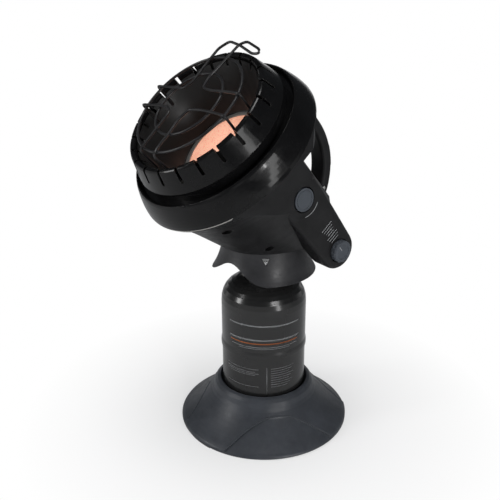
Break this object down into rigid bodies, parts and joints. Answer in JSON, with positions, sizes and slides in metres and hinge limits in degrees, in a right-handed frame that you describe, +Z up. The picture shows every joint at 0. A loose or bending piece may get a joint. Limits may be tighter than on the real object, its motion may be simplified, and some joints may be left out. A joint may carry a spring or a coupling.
{
  "type": "portable_heater",
  "caption": "Portable propane radiant heater: a round head with wire guard and handle on a disposable gas cylinder standing in a bell-shaped foot",
  "frame": {"origin": "on the ground under the cylinder's axis, in the middle of the foot's centre pad", "axes": "+Z up along the cylinder; the burner looks towards -Y and up; the control arm with its button and knob is on +X; the handle is at +Y"},
  "size_m": [0.212, 0.2522, 0.4547],
  "materials": {
    "slate_plastic": "satin moulded plastic",
    "black_rubber": "soft matt",
    "cylinder_paint": "gloss",
    "plated_steel": "plain",
    "brass": "machined",
    "dark_plastic": "textured moulded plastic",
    "soft_grip": "soft",
    "cast_alloy": "sand cast",
    "burner_steel": "drawn sheet",
    "fibre": "ceramic fibre",
    "ceramic": "fired ceramic",
    "probe_ceramic": "glazed ceramic",
    "probe_copper": "plain",
    "dark_coating": "satin heat-resisting",
    "bowl_enamel": "gloss enamel"
  },
  "bodies": {
    "base": {"foot": "slate_plastic", "foot_ribs": "slate_plastic", "foot_pads": "black_rubber"},
    "cylinder": {"tank_lower_cup": "cylinder_paint", "tank_upper_cup": "cylinder_paint", "tank_foot_ring": "cylinder_paint", "valve_body": "plated_steel", "valve_core": "brass", "core_spring": "plated_steel", "relief_valve": "plated_steel"},
    "head": {"collar": "dark_plastic", "housing_left": "dark_plastic", "housing_right": "dark_plastic", "housing_screws": "plated_steel", "handle": "dark_plastic", "handle_grip": "soft_grip", "handle_screws": "plated_steel", "regulator": "cast_alloy", "inlet_seal": "black_rubber", "gas_pipe": "brass", "jet": "brass", "jet_bracket": "plated_steel", "mixing_tube": "burner_steel", "burner_cup": "burner_steel", "tile_gasket": "fibre", "burner_tile": "ceramic", "tile_retainer": "burner_steel", "back_plate": "burner_steel", "shroud": "dark_coating", "front_ring": "dark_coating", "reflector": "bowl_enamel", "plate_screws": "plated_steel", "guard_cross": "dark_coating", "guard_inner_ring": "dark_coating", "guard_outer_ring": "dark_coating", "electrode": "probe_ceramic", "thermocouple": "probe_copper", "igniter": "dark_plastic", "button_spring": "plated_steel", "gas_cock": "brass", "knob_spring": "plated_steel", "tilt_switch": "dark_plastic"},
    "button": {"button": "slate_plastic"},
    "cock_plug": {"cock_plug": "plated_steel"},
    "knob": {"knob": "dark_plastic"}
  },
  "joints": [
    {"name": "cylinder_lift", "type": "slide", "parent": "base", "child": "cylinder", "axis": [0, 0, 1], "range_m": [0, 0.06]},
    {"name": "head_unscrew", "type": "hinge", "parent": "cylinder", "child": "head", "pos_m": [0, 0, 0.197], "axis": [0, 0, 1], "range_deg": [0, 180]},
    {"name": "button_press", "type": "slide", "parent": "head", "child": "button", "axis": [-1, 0, 0], "range_m": [0, 0.005], "stiffness_N_per_m": 500, "springref_m": -0.003, "deforming": ["button_spring"]},
    {"name": "knob_turn", "type": "hinge", "parent": "head", "child": "cock_plug", "pos_m": [0.08, 0.04204, 0.23168], "axis": [1, 0, 0], "range_deg": [0, 150]},
    {"name": "knob_push", "type": "slide", "parent": "cock_plug", "child": "knob", "axis": [-1, 0, 0], "range_m": [0, 0.003], "stiffness_N_per_m": 600, "springref_m": -0.003, "deforming": ["knob_spring"]}
  ]
}
